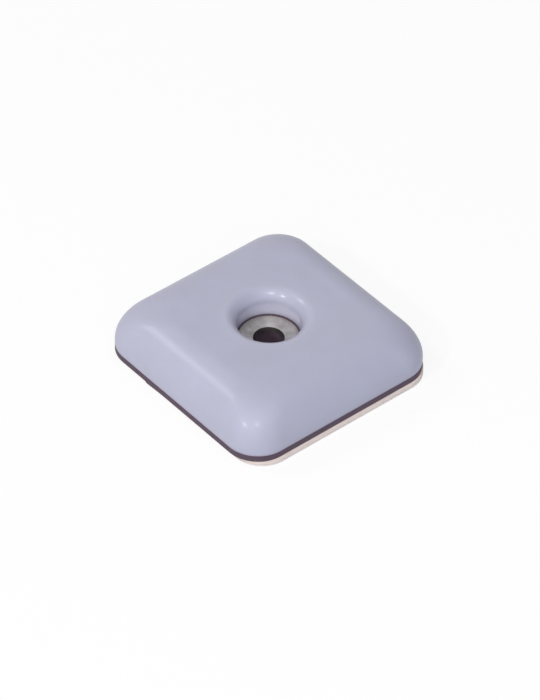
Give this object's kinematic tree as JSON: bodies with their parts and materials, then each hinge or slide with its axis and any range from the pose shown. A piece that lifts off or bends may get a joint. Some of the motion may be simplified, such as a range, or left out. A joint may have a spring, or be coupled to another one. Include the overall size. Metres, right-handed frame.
{
  "type": "furniture slider",
  "caption": "Square stick-on and screw-on furniture slider: crowned low-friction shell on a rubber core, with a dished washer in a round recess, foam tape and a peel-off liner.",
  "frame": {"origin": "middle of the release liner's underside, on the surface that the slider lies on", "axes": "+Z points out of the glide face along the screw's axis; X and Y run along the sides of the square"},
  "size_m": [0.04, 0.04, 0.0106],
  "materials": {
    "glide_shell": "satin, waxy, pale lavender grey PTFE",
    "core_rubber": "matt moulded rubber, brownish black",
    "washer_steel": "pressed steel with a dull zinc finish",
    "adhesive": "tacky acrylic adhesive coat",
    "foam": "fine closed-cell foam, cream",
    "liner_paper": "siliconised paper, pale"
  },
  "bodies": {
    "slider": {"glide_shell": "glide_shell", "cushion_core": "core_rubber", "cup_washer": "washer_steel", "core_adhesive": "adhesive", "foam_tape": "foam", "leg_adhesive": "adhesive"},
    "liner": {"release_liner": "liner_paper"}
  },
  "joints": [
    {"name": "liner_peel", "type": "slide", "parent": "slider", "child": "liner", "axis": [1, 0, 0], "range_m": [0, 0.044]}
  ]
}
